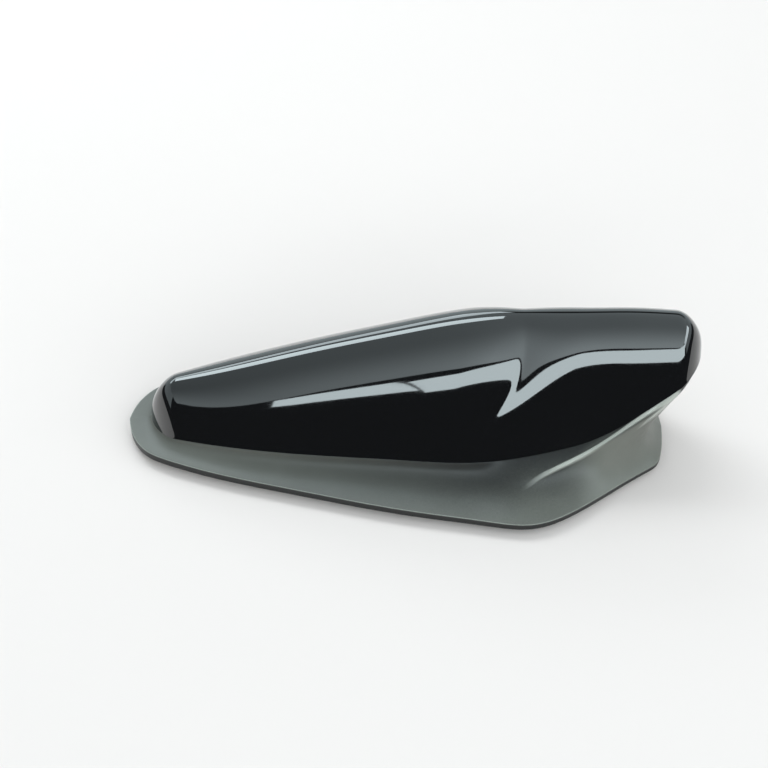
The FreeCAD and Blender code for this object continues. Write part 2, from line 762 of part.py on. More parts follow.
def make_blade():
    """Upright phone aerial whose slots lengthen the current's path."""
    body = doc.addObject("PartDesign::Body", "blade_body")
    sketch = body.newObject("Sketcher::SketchObject", "blade_sketch")
    sketch.AttachmentSupport = [(body.Origin.OriginFeatures[4], "")]
    sketch.MapMode = "FlatFace"
    corners = [("sizes.blade_front", BLADE_FOOT),
               ("sizes.blade_front + sizes.blade_foot_length", BLADE_FOOT),
               (BLADE_REAR, "sizes.blade_tail_low"), (BLADE_REAR, "sizes.blade_top"),
               ("sizes.blade_top_front", "sizes.blade_top"),
               ("sizes.blade_front", "%s + sizes.blade_foot_height" % BLADE_FOOT)]
    close_polygon(sketch, corners)
    pad = body.newObject("PartDesign::Pad", "blade_sheet")
    pad.Profile = sketch
    pad.setExpression("Length", "sizes.blade_thickness")
    pad.Midplane = True
    slots = [box("blade_slot_%d" % k, "sizes.blade_top_front + sizes.blade_slot_pitch * %d" % k, "0",
                 "sizes.blade_top - sizes.blade_slot_length", "sizes.blade_slot_width",
                 "2 * sizes.blade_thickness", "sizes.blade_slot_length") for k in range(1, 5)]
    bind_place(body, from_tip("0"))
    return cut("phone_antenna_blade", body, slots)


def make_carrier():
    """Block on the board with a slot that the blade's foot stands in."""
    middle = "(sizes.blade_front + sizes.blade_foot_length / 2)"
    block = box("carrier_block", middle, "0", BOARD_TOP, "sizes.carrier_length",
                "sizes.carrier_width", "sizes.carrier_height")
    slot = box("carrier_slot", middle, "0", BLADE_FOOT, "sizes.carrier_length",
               "sizes.blade_thickness + 2 * sizes.carrier_clearance",
               "sizes.carrier_height - sizes.carrier_floor")
    return cut("blade_carrier", block, [slot])


def make_contact():
    face = "sizes.blade_front - sizes.contact_thickness / 2"
    leaf = box("contact_leaf", face, "0", BOARD_TOP, "sizes.contact_thickness",
               "sizes.contact_width", "sizes.contact_height")
    pad = box("contact_pad", "sizes.blade_front - sizes.contact_width / 2", "0", BOARD_TOP,
              "sizes.contact_width", "sizes.contact_width", "sizes.contact_thickness")
    return fuse("blade_contact", [leaf, pad])


def write_parts(parts):
    """Check every object, then write one file for each part."""
    doc.recompute()
    for thing in doc.Objects:
        if "Invalid" in thing.State or "Error" in thing.State:
            raise RuntimeError("%s did not build" % thing.Name)
    os.makedirs("parts", exist_ok=True)
    for part in parts:
        if part.Shape.isNull() or not part.Shape.isValid():
            raise RuntimeError("%s has no valid shape" % part.Label)
        part.Shape.exportStep("parts/%s.step" % part.Label)


plate_sketch = outline("plate_sketch", both_sides([
    ("sizes.plate_front", "sizes.plate_front_half"), ("sizes.plate_mid", "sizes.plate_mid_half"),
    ("sizes.plate_wide", "sizes.plate_wide_half"), (PLATE_REAR, "sizes.plate_rear_half")]), "0")
parts = [make_cover(), make_boot(plate_sketch), make_chassis(plate_sketch), make_hub_seal(),
         make_insert(), make_cover_screws(), make_board_screws(), make_board(), make_tape(),
         make_patch(), make_feed_pin(), make_shield(), make_shroud(), make_blade(),
         make_carrier(), make_contact()]
for jack_name, jack_place in SOCKETS.items():
    parts += make_jack(jack_name, jack_place)
write_parts(parts)
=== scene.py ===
import json
import math

import bmesh
import bpy
import numpy as np
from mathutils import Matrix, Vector

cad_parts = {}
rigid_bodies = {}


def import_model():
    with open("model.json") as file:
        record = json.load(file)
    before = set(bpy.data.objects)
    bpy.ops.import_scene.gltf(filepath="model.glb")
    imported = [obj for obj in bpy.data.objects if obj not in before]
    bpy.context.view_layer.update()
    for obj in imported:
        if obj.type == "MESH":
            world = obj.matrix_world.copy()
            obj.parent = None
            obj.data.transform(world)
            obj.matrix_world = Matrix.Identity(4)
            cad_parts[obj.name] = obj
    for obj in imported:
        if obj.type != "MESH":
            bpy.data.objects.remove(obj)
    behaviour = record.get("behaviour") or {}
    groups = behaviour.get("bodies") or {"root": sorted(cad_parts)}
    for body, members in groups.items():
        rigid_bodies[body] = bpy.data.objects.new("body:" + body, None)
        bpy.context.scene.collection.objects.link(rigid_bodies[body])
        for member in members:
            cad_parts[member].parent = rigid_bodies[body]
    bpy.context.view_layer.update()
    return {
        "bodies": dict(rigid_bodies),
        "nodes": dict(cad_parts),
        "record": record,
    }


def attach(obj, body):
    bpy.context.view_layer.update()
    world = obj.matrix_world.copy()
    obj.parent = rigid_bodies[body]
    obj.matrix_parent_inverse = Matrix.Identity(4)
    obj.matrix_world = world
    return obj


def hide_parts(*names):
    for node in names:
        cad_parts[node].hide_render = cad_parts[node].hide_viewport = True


# Car roof antenna in its own frame. Blender works in metres. Lengths in this file are millimetres,
# apart from those of the studio, which are metres.
MM = 0.001

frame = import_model()
body_name = next(iter(frame["bodies"]))


# Small tools

def srgb(hex_text):
    """Linear colour from an sRGB hex value."""
    channels = [int(hex_text[k:k + 2], 16) / 255 for k in (1, 3, 5)]
    linear = [c / 12.92 if c <= 0.04045 else ((c + 0.055) / 1.055) ** 2.4 for c in channels]
    return (*linear, 1.0)


def add_node(tree, kind, inputs=None, **settings):
    """One shader node with its settings; an input given as a socket is linked."""
    node = tree.nodes.new(kind)
    for name, value in settings.items():
        setattr(node, name, value)
    for name, value in (inputs or {}).items():
        if isinstance(value, bpy.types.NodeSocket):
            tree.links.new(value, node.inputs[name])
        else:
            node.inputs[name].default_value = value
    return node


def new_material(name, **shader_values):
    """Material with one Principled shader whose constant values sit on its own sockets."""
    material = bpy.data.materials.new(name)
    material.use_nodes = True
    tree = material.node_tree
    shader = tree.nodes["Principled BSDF"]
    for socket, value in shader_values.items():
        shader.inputs[socket.replace("_", " ")].default_value = value
    return material, tree, shader


def grain(tree, size_mm, detail=2.0, roughness=0.5):
    """Noise whose lumps are about size_mm across, in the part's own coordinates."""
    place = add_node(tree, "ShaderNodeTexCoord")
    return add_node(tree, "ShaderNodeTexNoise", {
        "Vector": place.outputs["Object"], "Scale": 1 / (size_mm * MM), "Detail": detail,
        "Roughness": roughness})


# Most values of the noise lie between these two
NOISE_LOW = 0.3
NOISE_HIGH = 0.7


def spread(tree, source, low, high):
    """Maps a noise value onto the range low to high."""
    return add_node(tree, "ShaderNodeMapRange", {
        "Value": source, "From Min": NOISE_LOW, "From Max": NOISE_HIGH, "To Min": low, "To Max": high})


def two_tone(tree, source, dark_hex, light_hex):
    """Colour that drifts between two tones with a noise value."""
    ramp = add_node(tree, "ShaderNodeValToRGB", {"Fac": source})
    stops = ((NOISE_LOW, dark_hex), (NOISE_HIGH, light_hex))
    for element, (position, tone) in zip(ramp.color_ramp.elements, stops):
        element.position = position
        element.color = srgb(tone)
    return ramp.outputs["Color"]


def relief(tree, shader, height, depth_mm):
    """Bump of a given depth on the shader's normal."""
    bump = add_node(tree, "ShaderNodeBump", {"Height": height, "Distance": depth_mm * MM})
    tree.links.new(bump.outputs["Normal"], shader.inputs["Normal"])
    return bump


# Finishes

LACQUER_HAZE_SIZE = 3.0
LACQUER_ROUGHNESS = (0.035, 0.06)
LACQUER_WAVE_SIZE = 2.2
LACQUER_WAVE_DEPTH = 0.0016


def piano_black_lacquer():
    """Black lacquer over a moulded cover: mirror gloss with the faintest waviness and dust-fine haze."""
    material, tree, shader = new_material(
        "piano_black_lacquer", Base_Color=srgb("#07080a"), IOR=1.5, Coat_Weight=1.0, Coat_IOR=1.55,
        Coat_Roughness=0.03)
    haze = grain(tree, LACQUER_HAZE_SIZE, detail=4.0)
    tree.links.new(spread(tree, haze.outputs["Fac"], *LACQUER_ROUGHNESS).outputs["Result"],
                   shader.inputs["Roughness"])
    waves = grain(tree, LACQUER_WAVE_SIZE, detail=1.0)
    relief(tree, shader, waves.outputs["Fac"], LACQUER_WAVE_DEPTH)
    return material


# Ridge on the boot's flank: its half width and height are square laws of the distance along it
RIDGE_START = 31.1
RIDGE_HALF_WIDTH = (31.2, -0.482, 0.0019)
RIDGE_HEIGHT = (5.15, 0.42, 0.0016)
# Each mask goes from 0 at the first value to 1 at the second
RIDGE_SIDE_FADE = (0.75, 0.3)
RIDGE_HEIGHT_FADE = (4.5, 3.0)
RIDGE_GROWTH = (0.0, 14.0)
HOLLOW_HEIGHT_FADE = (0.0, 2.5)
HOLLOW_GROWTH = (8.0, 26.0)


def ridge_masks(tree, axes):
    """Two masks: 1 on the flat of the ridge, and 1 in the hollow below it."""
    along = add_node(tree, "ShaderNodeMath", {0: axes.outputs["X"], 1: 1 / MM, 2: -RIDGE_START},
                     operation="MULTIPLY_ADD").outputs["Value"]
    inside = {}
    beside = {}
    for axis, (start, slope, bow) in (("Y", RIDGE_HALF_WIDTH), ("Z", RIDGE_HEIGHT)):
        law = add_node(tree, "ShaderNodeMath", {0: along, 1: bow, 2: slope}, operation="MULTIPLY_ADD")
        law = add_node(tree, "ShaderNodeMath", {0: along, 1: law.outputs["Value"], 2: start},
                       operation="MULTIPLY_ADD")
        side = add_node(tree, "ShaderNodeMath", {0: axes.outputs[axis]}, operation="ABSOLUTE")
        side = add_node(tree, "ShaderNodeMath", {0: side.outputs["Value"], 1: 1 / MM}, operation="MULTIPLY")
        inside[axis] = add_node(tree, "ShaderNodeMath", {0: law.outputs["Value"], 1: side.outputs["Value"]},
                                operation="SUBTRACT").outputs["Value"]
        beside[axis] = add_node(tree, "ShaderNodeMath", {0: inside[axis]},
                                operation="ABSOLUTE").outputs["Value"]
    fades = ((beside["Y"], RIDGE_SIDE_FADE), (beside["Z"], RIDGE_HEIGHT_FADE), (along, RIDGE_GROWTH),
             (inside["Z"], HOLLOW_HEIGHT_FADE), (along, HOLLOW_GROWTH))
    close, level, grown, below, opened = [
        add_node(tree, "ShaderNodeMapRange", {"Value": value, "From Min": start, "From Max": end},
                 interpolation_type="SMOOTHSTEP").outputs["Result"]
        for value, (start, end) in fades]
    flat = add_node(tree, "ShaderNodeMath", {0: close, 1: level}, operation="MULTIPLY").outputs["Value"]
    ridge = add_node(tree, "ShaderNodeMath", {0: flat, 1: grown}, operation="MULTIPLY").outputs["Value"]
    hollow = add_node(tree, "ShaderNodeMath", {0: below, 1: opened}, operation="MULTIPLY").outputs["Value"]
    return ridge, hollow


# Painted shade close under the cover: reach of its probe, openness over which it fades, and its fading
# toward the tip
COVER_SHADE_REACH = 20.0
COVER_SHADE_OPENNESS = (0.76, 1.0)
TIP_FADE = (26.0, -62.0)
TIP_SHARE = 0.74
LIP_TOP = 2.4
LIP_STEEPNESS = 0.12
# Painted highlight on the rim edge, which is also polished: where it starts, rounding radius, turn of the
# normal, share
EDGE_HIGHLIGHT_BOTTOM = 0.9
EDGE_ROUND_RADIUS = 0.6
EDGE_HIGHLIGHT_TURN = (0.99, 0.93)
EDGE_HIGHLIGHT_SHARE = 0.6
RIDGE_RELIEF = 0.3
WEATHER_DRIFT_SIZE = 9.0
# The tool's grain is near 0.15 mm; it is drawn larger so that it shows
ETCHED_SIZE = 0.35
ETCHED_RELIEF = 0.02
SATIN_ROUGHNESS = (0.36, 0.44)
POLISHED_ROUGHNESS = 0.2
PROBE_SAMPLES = 8


def moulded_boot_rubber():
    """Black EPDM moulded in an etched tool: satin, aged grey, with painted shade and painted highlights."""
    material, tree, shader = new_material("moulded_boot_rubber", IOR=1.5)
    tint = grain(tree, WEATHER_DRIFT_SIZE, detail=5.0)
    weathered = two_tone(tree, tint.outputs["Fac"], "#66665f", "#6c6c65")
    place = add_node(tree, "ShaderNodeTexCoord")
    axes = add_node(tree, "ShaderNodeSeparateXYZ", {"Vector": place.outputs["Object"]})
    ridge, hollow = ridge_masks(tree, axes)
    # Painted shade: the strip close under the cover's flank is kept black, less so toward the tip, where
    # the cover is low.
    # The rear hollow gets the lighter grey as painted light.
    upward = add_node(tree, "ShaderNodeCombineXYZ", {"Z": 1.0})
    cover_shade_probe = add_node(tree, "ShaderNodeAmbientOcclusion", {
        "Distance": COVER_SHADE_REACH * MM, "Normal": upward.outputs["Vector"]}, samples=PROBE_SAMPLES)
    clear_of_cover_shade = add_node(tree, "ShaderNodeMapRange", {
        "Value": cover_shade_probe.outputs["AO"], "From Min": COVER_SHADE_OPENNESS[0], "From Max": COVER_SHADE_OPENNESS[1]})
    unshaded_share = add_node(tree, "ShaderNodeMath", {0: clear_of_cover_shade.outputs["Result"], 1: hollow},
                       operation="MAXIMUM")
    tip = add_node(tree, "ShaderNodeMapRange", {
        "Value": axes.outputs["X"], "From Min": TIP_FADE[0] * MM, "From Max": TIP_FADE[1] * MM,
        "To Max": TIP_SHARE})
    unshaded_share = add_node(tree, "ShaderNodeMath", {0: unshaded_share.outputs["Value"], 1: tip.outputs["Result"]},
                       operation="MAXIMUM")
    flank = add_node(tree, "ShaderNodeMix", {
        "Factor": unshaded_share.outputs["Value"], "A": srgb("#0c0d0c"), "B": weathered}, data_type="RGBA")
    # The lip, the upright strip round the foot at the mould's parting face, is painted near black: painted
    # shade, as it faces the dark room.
    form = add_node(tree, "ShaderNodeNewGeometry")
    slope = add_node(tree, "ShaderNodeSeparateXYZ", {"Vector": form.outputs["True Normal"]})
    upright = add_node(tree, "ShaderNodeMath", {0: slope.outputs["Z"]}, operation="ABSOLUTE")
    lip = add_node(tree, "ShaderNodeMath", {0: upright.outputs["Value"], 1: LIP_STEEPNESS},
                   operation="LESS_THAN")
    low = add_node(tree, "ShaderNodeMath", {0: axes.outputs["Z"], 1: LIP_TOP * MM}, operation="LESS_THAN")
    painted_lip_shade = add_node(tree, "ShaderNodeMath", {0: lip.outputs["Value"], 1: low.outputs["Value"]},
                    operation="MULTIPLY")
    colour = add_node(tree, "ShaderNodeMix", {
        "Factor": painted_lip_shade.outputs["Value"], "A": flank.outputs["Result"], "B": srgb("#101111")},
        data_type="RGBA")
    # Painted highlight: the edge above the lip and the ridge are painted paler, and they are also polished
    # to a lower roughness.
    edge = add_node(tree, "ShaderNodeBevel", {"Radius": EDGE_ROUND_RADIUS * MM}, samples=PROBE_SAMPLES)
    turn = add_node(tree, "ShaderNodeVectorMath", {
        0: edge.outputs["Normal"], 1: form.outputs["True Normal"]}, operation="DOT_PRODUCT")
    rim_highlight_and_polish = add_node(tree, "ShaderNodeMapRange", {
        "Value": turn.outputs["Value"], "From Min": EDGE_HIGHLIGHT_TURN[0], "From Max": EDGE_HIGHLIGHT_TURN[1],
        "To Max": EDGE_HIGHLIGHT_SHARE})
    top = add_node(tree, "ShaderNodeMath", {0: axes.outputs["Z"], 1: EDGE_HIGHLIGHT_BOTTOM * MM},
                   operation="GREATER_THAN")
    rim = add_node(tree, "ShaderNodeMath", {0: low.outputs["Value"], 1: top.outputs["Value"]},
                   operation="MULTIPLY")
    rim = add_node(tree, "ShaderNodeMath", {0: rim.outputs["Value"], 1: rim_highlight_and_polish.outputs["Result"]},
                   operation="MULTIPLY")
    highlight_and_polish = add_node(tree, "ShaderNodeMath", {0: rim.outputs["Value"], 1: ridge}, operation="MAXIMUM")
    # Painted highlight: the pale tone on the rim edge and the ridge
    shade = add_node(tree, "ShaderNodeMix", {
        "Factor": highlight_and_polish.outputs["Value"], "A": colour.outputs["Result"], "B": srgb("#aeaea6")},
        data_type="RGBA")
    tree.links.new(shade.outputs["Result"], shader.inputs["Base Color"])
    etched = grain(tree, ETCHED_SIZE, roughness=0.6)
    satin = spread(tree, etched.outputs["Fac"], *SATIN_ROUGHNESS)
    gloss = add_node(tree, "ShaderNodeMix", {
        "Factor": highlight_and_polish.outputs["Value"], "A": satin.outputs["Result"], "B": POLISHED_ROUGHNESS})
    tree.links.new(gloss.outputs["Result"], shader.inputs["Roughness"])
    raised = add_node(tree, "ShaderNodeBump", {
        "Height": ridge, "Distance": RIDGE_RELIEF * MM, "Normal": edge.outputs["Normal"]})
    bump = relief(tree, shader, etched.outputs["Fac"], ETCHED_RELIEF)
    tree.links.new(raised.outputs["Normal"], bump.inputs["Normal"])
    return material


CASTING_DRIFT_SIZE = 12.0
CASTING_GRAIN_SIZE = 0.6
CASTING_ROUGHNESS = (0.36, 0.52)
CASTING_RELIEF = 0.03


def passivated_casting():
    """Die-cast alloy with yellow passivation: dull metal with drifting straw and olive tones."""
    material, tree, shader = new_material("passivated_casting", Metallic=0.85)
    drift = grain(tree, CASTING_DRIFT_SIZE, detail=3.0)
    tree.links.new(two_tone(tree, drift.outputs["Fac"], "#a08f3e", "#c8b667"),
                   shader.inputs["Base Color"])
    skin_grain = grain(tree, CASTING_GRAIN_SIZE, detail=3.0)
    tree.links.new(spread(tree, skin_grain.outputs["Fac"], *CASTING_ROUGHNESS).outputs["Result"],
                   shader.inputs["Roughness"])
    relief(tree, shader, skin_grain.outputs["Fac"], CASTING_RELIEF)
    return material


# How much wider the drift of tones is than the grain
TONE_SPAN = 6


def grained_finish(name, dark_hex, light_hex, grain_mm, rough, bump_mm, **shader_values):
    """Moulded, sintered or plated finish: two close tones, uneven gloss and a fine skin."""
    material, tree, shader = new_material(name, **shader_values)
    tones = grain(tree, grain_mm * TONE_SPAN, detail=3.0)
    tree.links.new(two_tone(tree, tones.outputs["Fac"], dark_hex, light_hex),
                   shader.inputs["Base Color"])
    fine = grain(tree, grain_mm, detail=3.0)
    tree.links.new(spread(tree, fine.outputs["Fac"], *rough).outputs["Result"],
                   shader.inputs["Roughness"])
    relief(tree, shader, fine.outputs["Fac"], bump_mm)
    return material


def all_finishes():
    """Record slot to material."""
    return {
        "gloss_black": piano_black_lacquer(),
        "boot_rubber": moulded_boot_rubber(),
        "cast_alloy": passivated_casting(),
        # Closed-cell foam: dead matt, open pores at its cut faces.
        "seal_foam": grained_finish("closed_cell_foam", "#161616", "#202020", 0.5, (0.8, 0.95), 0.08),
        # Zinc-plated steel: bluish bright metal.
        "plated_steel": grained_finish("zinc_plated_steel", "#a9abad", "#c4c6c8", 0.3, (0.28, 0.4), 0.005,
                                       Metallic=1.0),
        # Solder resist over glass epoxy: green, half gloss, weave just printing through.
        "board_green": grained_finish("solder_resist", "#0d3b22", "#13482b", 0.5, (0.3, 0.42), 0.006),
        # Acrylic foam tape: soft white.
        "tape_white": grained_finish("acrylic_foam_tape", "#d9d8d2", "#e6e5df", 0.3, (0.7, 0.85), 0.02),
        # Sintered ceramic: sandy and matt.
        "patch_ceramic": grained_finish("sintered_ceramic", "#b9a88d", "#cbbca3", 0.25, (0.55, 0.7), 0.008),
        # Tinned brass: pale, faintly warm metal with a soft gloss.
        "tinned_brass": grained_finish("tinned_brass", "#b9b9b4", "#cfcfca", 0.2, (0.25, 0.38), 0.003,
                                       Metallic=1.0),
        # Tin plate: pressed sheet with a soft rolled gloss.
        "tinned_steel": grained_finish("tin_plate", "#b4b6b6", "#c9cbcb", 0.4, (0.25, 0.36), 0.004,
                                       Metallic=1.0),
        # Moulded nylon: black with a fine spark-eroded skin.
        "socket_plastic": grained_finish("moulded_nylon", "#1b1b1c", "#232324", 0.25, (0.45, 0.6), 0.012),
        # Turned fluoropolymer: waxy white.
        "insulator_white": grained_finish("turned_fluoropolymer", "#dedfde", "#ecedec", 0.2, (0.35, 0.5),
                                          0.004, Subsurface_Weight=0.1),
        # Gold-flashed brass: bright warm yellow.
        "jack_brass": grained_finish("gold_flashed_brass", "#b98d3c", "#d0a552", 0.2, (0.2, 0.32), 0.003,
                                     Metallic=1.0),
        # Etched copper on glass epoxy under a thin resist.
        "blade_copper": grained_finish("etched_laminate", "#6f4321", "#855430", 0.4, (0.35, 0.5), 0.006),
    }


finishes = all_finishes()
node_slots = {part["node"]: part["material_slot"] for part in frame["record"]["subparts"]}


def dress(thing, slot_name):
    """Gives an object the finish of a record slot as its only material."""
    thing.data.materials.clear()
    thing.data.materials.append(finishes[slot_name])


for node_name, node_object in frame["nodes"].items():
    dress(node_object, node_slots[node_name])


# Cover form, from the boot's front tip: laws like the solid's, with the valley tuned for its reflection.
# The outer skin lies within about 0.6 mm of the solid's.

BASE_LENGTH = 158.3
TAIL_OVERHANG = 7.4
NOSE_SETBACK = 6.8
NOSE_ROUND = 8.5
TAIL_ROUND = 7.8
COVER_WALL = 2.2
SEAM_GAP = 0.2
ARCH_POWER = 2.1
VALLEY_FOOT = 87.0
VALLEY_SWEEP = 28.0
VALLEY_FRONT_REACH = 16.0
VALLEY_REAR_REACH = 15.0
VALLEY_FLOOR = 0.05
VALLEY_FULL_LIFT = 0.9
VALLEY_DEPTH_FLANK = 1.6
VALLEY_DEPTH_CROWN = 0.1
VALLEY_BEND = 2.6
VALLEY_FADE_POWER = 10
STATIONS = (0.0, 0.114, 0.30, 0.464, 0.62, 0.75, 0.80, 0.87, 1.0)
SEAM = (4.2, 6.3, 7.7, 8.8, 9.9, 12.3, 13.5, 19.6, 32.6)
HALF_WIDTH = (8.8, 14.8, 20.0, 22.8, 24.3, 21.4, 19.7, 17.4, 10.8)
CROWN = (16.4, 22.0, 31.4, 38.8, 44.3, 44.8, 44.95, 45.2, 44.0)

tail_end = BASE_LENGTH + TAIL_OVERHANG
cover_length = tail_end - NOSE_SETBACK
station_places = NOSE_SETBACK + cover_length * np.array(STATIONS)


def natural_spline(xs, ys):
    """Curve with continuous curvature through the points, as a function of place."""
    xs = np.asarray(xs, float)
    ys = np.asarray(ys, float)
    gaps = np.diff(xs)
    system = np.eye(len(xs))
    bend_sums = np.zeros(len(xs))
    for k in range(1, len(xs) - 1):
        system[k, k - 1:k + 2] = gaps[k - 1], 2 * (gaps[k - 1] + gaps[k]), gaps[k]
        bend_sums[k] = 6 * ((ys[k + 1] - ys[k]) / gaps[k] - (ys[k] - ys[k - 1]) / gaps[k - 1])
    bends = np.linalg.solve(system, bend_sums)

    def value(x):
        k = np.clip(np.searchsorted(xs, x, side="right") - 1, 0, len(gaps) - 1)
        left = x - xs[k]
        right = xs[k + 1] - x
        cubic = (bends[k] * right ** 3 + bends[k + 1] * left ** 3) / (6 * gaps[k])
        start = (ys[k] / gaps[k] - bends[k] * gaps[k] / 6) * right
        end = (ys[k + 1] / gaps[k] - bends[k + 1] * gaps[k] / 6) * left
        return cubic + start + end

    return value


seam_height = natural_spline(station_places, SEAM)
half_width = natural_spline(station_places, HALF_WIDTH)
crown_height = natural_spline(station_places, CROWN)


def rounding(distance, length):
    """Quarter-ellipse factor that closes the form over its last length."""
    share = np.clip(distance / length, 0.0, 1.0)
    return np.sqrt(1 - (1 - share) ** 2)


def smooth_step(t):
    """Eases from 0 to 1."""
    t = np.clip(t, 0.0, 1.0)
    return t * t * (3 - 2 * t)


def valley_pinch(place, lift):
    """Share by which the section draws in; lift is 0 at the seam and 1 at the crown."""
    centre = VALLEY_FOOT + VALLEY_SWEEP * (1 - (1 - lift) ** VALLEY_BEND)
    reach = np.where(place < centre, VALLEY_FRONT_REACH, VALLEY_REAR_REACH)
    away = np.clip(np.hypot((place - centre) / reach, VALLEY_FLOOR) - VALLEY_FLOOR, 0, 1)
    flank = VALLEY_DEPTH_FLANK / half_width(place)
    crown = VALLEY_DEPTH_CROWN / (crown_height(place) - seam_height(place))
    share = smooth_step(lift / VALLEY_FULL_LIFT)
    depth = crown + (flank * share - crown) * (1 - lift ** VALLEY_FADE_POWER)
    return depth * (1 - away) ** 2


def cover_places(end_count, middle_count):
    """Places of the skin's rows, closer together toward the rounded ends."""
    angles = np.linspace(0, np.pi / 2, end_count, endpoint=False)
    front = NOSE_SETBACK + NOSE_ROUND * (1 - np.cos(angles))
    back = tail_end - TAIL_ROUND * (1 - np.cos(angles[::-1]))
    middle = np.linspace(NOSE_SETBACK + NOSE_ROUND, tail_end - TAIL_ROUND, middle_count + 1)
    return np.concatenate([front, middle, back])


def cover_grid(places, inset, columns):
    """Points of the cover's skin, row by row from nose to tail, near seam to far seam."""
    stretch = (cover_length - 2 * inset) / cover_length
    place = (NOSE_SETBACK + inset + (places - NOSE_SETBACK) * stretch)[:, None]
    angle = np.linspace(0, np.pi, columns)[None, :]
    close = rounding(place - NOSE_SETBACK - inset, NOSE_ROUND - inset)
    close = close * rounding(tail_end - inset - place, TAIL_ROUND - inset)
    foot = seam_height(place) + SEAM_GAP
    lift = np.clip(np.sin(angle), 0, 1) ** ARCH_POWER
    keep = 1 - valley_pinch(place, lift)
    y = -(half_width(place) - inset) * close * np.cos(angle) * keep
    z = foot + (crown_height(place) - inset - foot) * close * lift * keep
    x = place - tail_end / 2 + np.zeros_like(y)
    return np.stack([x, y, z], axis=-1)


class Mesh:
    """Collects points in millimetres and faces, then makes a smooth object in metres."""

    def __init__(self):
        self.points = []
        self.faces = []

    def add(self, points):
        first = len(self.points)
        self.points.extend([tuple(p) for p in points])
        return list(range(first, len(self.points)))

    def grid(self, points):
        return [self.add(row) for row in points]

    def skin(self, rows, flip=False):
        for a, b in zip(rows, rows[1:]):
            for k in range(len(a) - 1):
                face = [a[k], b[k], b[k + 1], a[k + 1]]
                self.faces.append(face[::-1] if flip else face)

    def build(self, name):
        data = bpy.data.meshes.new(name)
        work = bmesh.new()
        verts = [work.verts.new(Vector(p) * MM) for p in self.points]
        for face in self.faces:
            work.faces.new([verts[k] for k in face])
        bmesh.ops.remove_doubles(work, verts=work.verts, dist=1e-7)
        bmesh.ops.recalc_face_normals(work, faces=work.faces)
        for face in work.faces:
            face.smooth = True
        work.to_mesh(data)
        work.free()
        thing = bpy.data.objects.new(name, data)
        bpy.context.scene.collection.objects.link(thing)
        return thing


BOSS_RADIUS = 3.0
BOSS_PILOT_RADIUS = 1.25
BOSS_PILOT_DEPTH = 9.0
BOSS_SIDES = 32
PLATE_TOP = 2.8
BOSS_PLACES = ((33.0, 0.0), (102.0, -17.2), (102.0, 17.2), (123.5, -9.5), (123.5, 9.5))


def screw_boss(mesh, place, y):
    """Hollow post from the chassis plate into the cover's wall."""
    share = min(1.0, (abs(y) + BOSS_RADIUS) / (half_width(place) - COVER_WALL))
    foot = seam_height(place)
    top = foot + (crown_height(place) - COVER_WALL - foot) * (1 - share ** 2) ** (ARCH_POWER / 2)
    pilot_top = PLATE_TOP + BOSS_PILOT_DEPTH
    profile = [(0.0, pilot_top), (BOSS_PILOT_RADIUS, pilot_top), (BOSS_PILOT_RADIUS, PLATE_TOP),
               (BOSS_RADIUS, PLATE_TOP), (BOSS_RADIUS, top)]
    turns = np.linspace(0, 2 * np.pi, BOSS_SIDES + 1)
    rows = [[(place - tail_end / 2 + r * math.cos(a), y + r * math.sin(a), z) for a in turns]
            for r, z in profile]
    mesh.skin(mesh.grid(rows))


END_ROWS = 16
MIDDLE_ROWS = 220
OUTER_COLUMNS = 121
INNER_COLUMNS = 31
EDGE_WIDTH = 0.35
EDGE_SEGMENTS = 3
EDGE_ANGLE_DEG = 50


def make_cover():
    """Cover shell with its wall, seam edge, screw posts and softened moulded edges."""
    places = cover_places(END_ROWS, MIDDLE_ROWS)
    mesh = Mesh()
    outer = mesh.grid(cover_grid(places, 0.0, OUTER_COLUMNS))
    inner = mesh.grid(cover_grid(places, COVER_WALL, INNER_COLUMNS))
    mesh.skin(outer)
    mesh.skin(inner, flip=True)
    mesh.skin([[row[0] for row in inner], [row[0] for row in outer]])
    mesh.skin([[row[-1] for row in outer], [row[-1] for row in inner]])
    for place, y in BOSS_PLACES:
        screw_boss(mesh, place, y)
    cover = mesh.build("cover_lacquered")
    soften = cover.modifiers.new("moulded_edge", "BEVEL")
    soften.width = EDGE_WIDTH * MM
    soften.segments = EDGE_SEGMENTS
    soften.limit_method = "ANGLE"
    soften.angle_limit = math.radians(EDGE_ANGLE_DEG)
    return cover


cover = make_cover()
dress(cover, "gloss_black")
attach(cover, body_name)
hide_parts("radome_cover")


# Camera at the photograph's angle

IMAGE_SIDE_PX = 768
FOCAL_PX = 1552.5
SENSOR_MM = 36.0
CAMERA_ELEVATION_DEG = 44.0
CAMERA_DISTANCE = 450.0
LOOK_NEAR = Vector((-2.4, -7.6, 12.0))
AIM_OFFSET_RIGHT = -4.64
AIM_OFFSET_UP = 8.99
CLIP_START = 10.0


def make_camera():
    """Camera in front of the part, aimed so that the part lies in the picture as in the photograph."""
    elevation = math.radians(CAMERA_ELEVATION_DEG)
    back = Vector((0, -math.cos(elevation), math.sin(elevation)))
    up = Vector((0, math.sin(elevation), math.cos(elevation)))
    data = bpy.data.cameras.new("photo_camera")
    data.sensor_width = SENSOR_MM
    data.lens = FOCAL_PX / IMAGE_SIDE_PX * SENSOR_MM
    data.clip_start = CLIP_START * MM
    camera = bpy.data.objects.new("photo_camera", data)
    camera.location = (LOOK_NEAR + back * CAMERA_DISTANCE) * MM
    aim = (LOOK_NEAR + Vector((AIM_OFFSET_RIGHT, 0, 0)) + up * AIM_OFFSET_UP) * MM
    camera.rotation_euler = (aim - camera.location).to_track_quat("-Z", "Y").to_euler()
    bpy.context.scene.collection.objects.link(camera)
    bpy.context.scene.camera = camera


make_camera()


# Studio, in metres: pale table, ceiling that is brighter at the front, tube overhead, walls and windows

LAMP_TINT = "#ecfbff"


